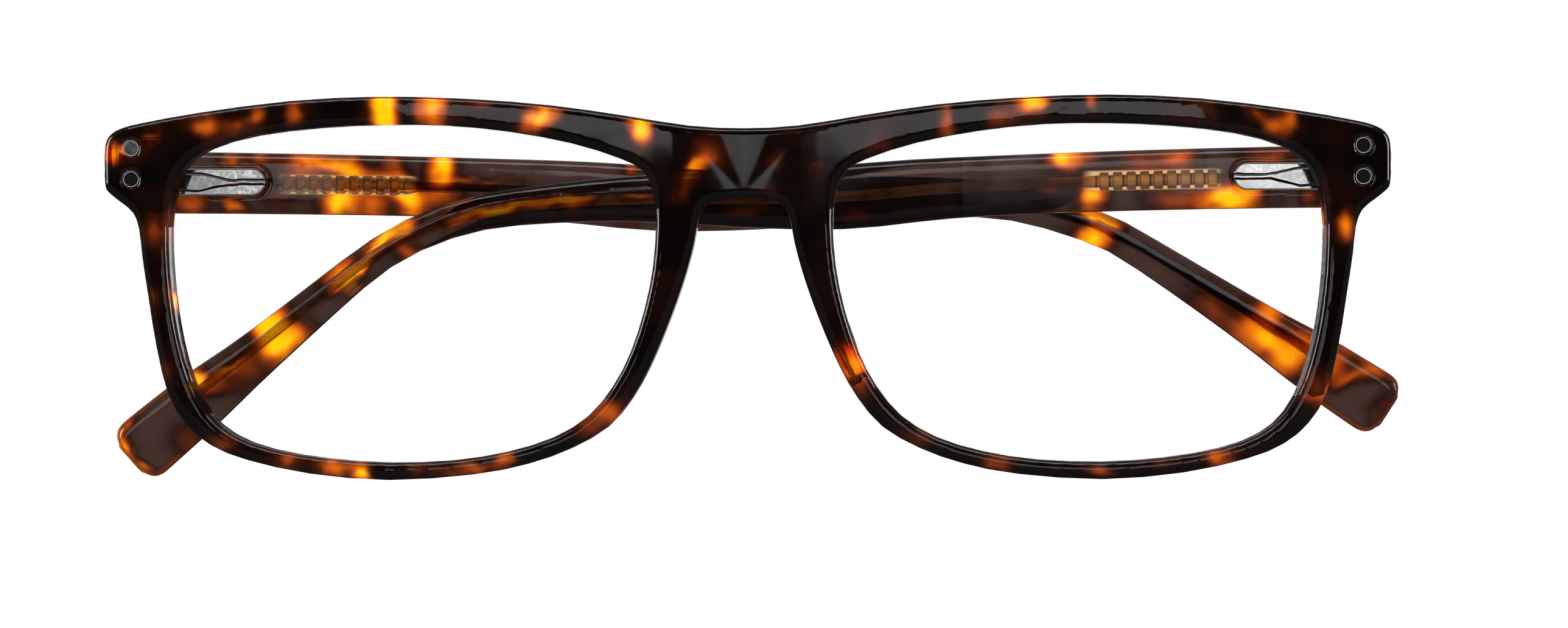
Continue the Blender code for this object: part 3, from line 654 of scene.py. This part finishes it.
def make_lights():
    area_light("softbox_top", (0, -260, 620), (0, 0, 20), (900, 320), 2.5)
    area_light("softbox_left", (-700, -250, 160), (0, 0, 20), (300, 500), 4.0)
    area_light("softbox_right", (700, -250, 160), (0, 0, 20), (300, 500), 4.0)
    for number, (left, right, low) in enumerate(WINDOWS):
        width, height = right - left, WINDOW_TOP - low
        place = ((left + right) / 2, WINDOW_Y, (low + WINDOW_TOP) / 2)
        power = WINDOW_RADIANCE * math.pi * width * height * MM**2
        area_light(f"window_{number}", place, (place[0], 0, place[2]), (width, height), power)


def make_world():
    """White to the camera. Other rays find it lit only behind the part, and dim elsewhere.

    Rays that have passed through the part find it lit over a wider angle.
    """
    world = bpy.data.worlds.new("studio")
    world.use_nodes = True
    tree = world.node_tree
    direction = add(tree, "ShaderNodeTexCoord").outputs["Generated"]
    backwards = add(
        tree, "ShaderNodeVectorMath", {0: direction, 1: (0, -1, 0)}, operation="DOT_PRODUCT"
    ).outputs["Value"]
    lit = spread(tree, backwards, -0.95, -0.6, BACKLIGHT, 0.14)
    unlit = spread(tree, backwards, 0.45, 0.9, 1.0, 0.1)
    lit = calculate(tree, "MULTIPLY", lit, unlit)
    path = add(tree, "ShaderNodeLightPath").outputs
    through = spread(tree, backwards, -0.6, 0.3, BACKLIGHT, 0.5)
    lit = add(
        tree, "ShaderNodeMix", {"Factor": path["Is Transmission Ray"], "A": lit, "B": through}
    ).outputs[0]
    strength = add(
        tree, "ShaderNodeMix", {"Factor": path["Is Camera Ray"], "A": lit, "B": 1.0}
    ).outputs[0]
    tree.nodes["Background"].inputs["Color"].default_value = (1, 1, 1, 1)
    tree.links.new(strength, tree.nodes["Background"].inputs["Strength"])
    bpy.context.scene.world = world


def make_floor():
    """A floor that the camera sees white. Reflections find it dark near the part."""
    data = bpy.data.meshes.new("floor")
    x, near, far, z = 900 * MM, -850 * MM, 1500 * MM, -FLOOR_GAP * MM
    data.from_pydata(
        [(-x, near, z), (x, near, z), (x, far, z), (-x, far, z)], [], [(0, 1, 2, 3)]
    )
    floor = bpy.data.objects.new("floor", data)
    bpy.context.scene.collection.objects.link(floor)
    material, tree, shader = new_material("pale_floor")
    place = millimetres(tree)
    grain = noise(tree, place, 30.0, 3.0).outputs[0]
    unlit = ramp(tree, grain, [(0.3, (0.06, 0.06, 0.06)), (0.7, (0.07, 0.07, 0.07))])
    tree.links.new(unlit, shader.inputs["Base Color"])
    shader.inputs["Roughness"].default_value = 0.9
    shader.inputs["Specular IOR Level"].default_value = 0.0
    shader.inputs["Emission Color"].default_value = (1, 1, 1, 1)
    path = add(tree, "ShaderNodeLightPath").outputs
    back = add(tree, "ShaderNodeSeparateXYZ", {0: place}).outputs["Y"]
    lit = calculate(
        tree, "MAXIMUM", path["Is Camera Ray"], spread(tree, back, 60.0, 400.0, 0.06, 1.0)
    )
    through = calculate(tree, "MULTIPLY", path["Is Transmission Ray"], BACKLIGHT)
    lit = calculate(tree, "MAXIMUM", lit, through)
    tree.links.new(lit, shader.inputs["Emission Strength"])
    data.materials.append(material)


def main():
    bpy.context.scene.view_settings.view_transform = "Standard"
    make_camera()
    make_world()
    make_lights()
    make_floor()
    make_acetate()
    make_metals()


main()
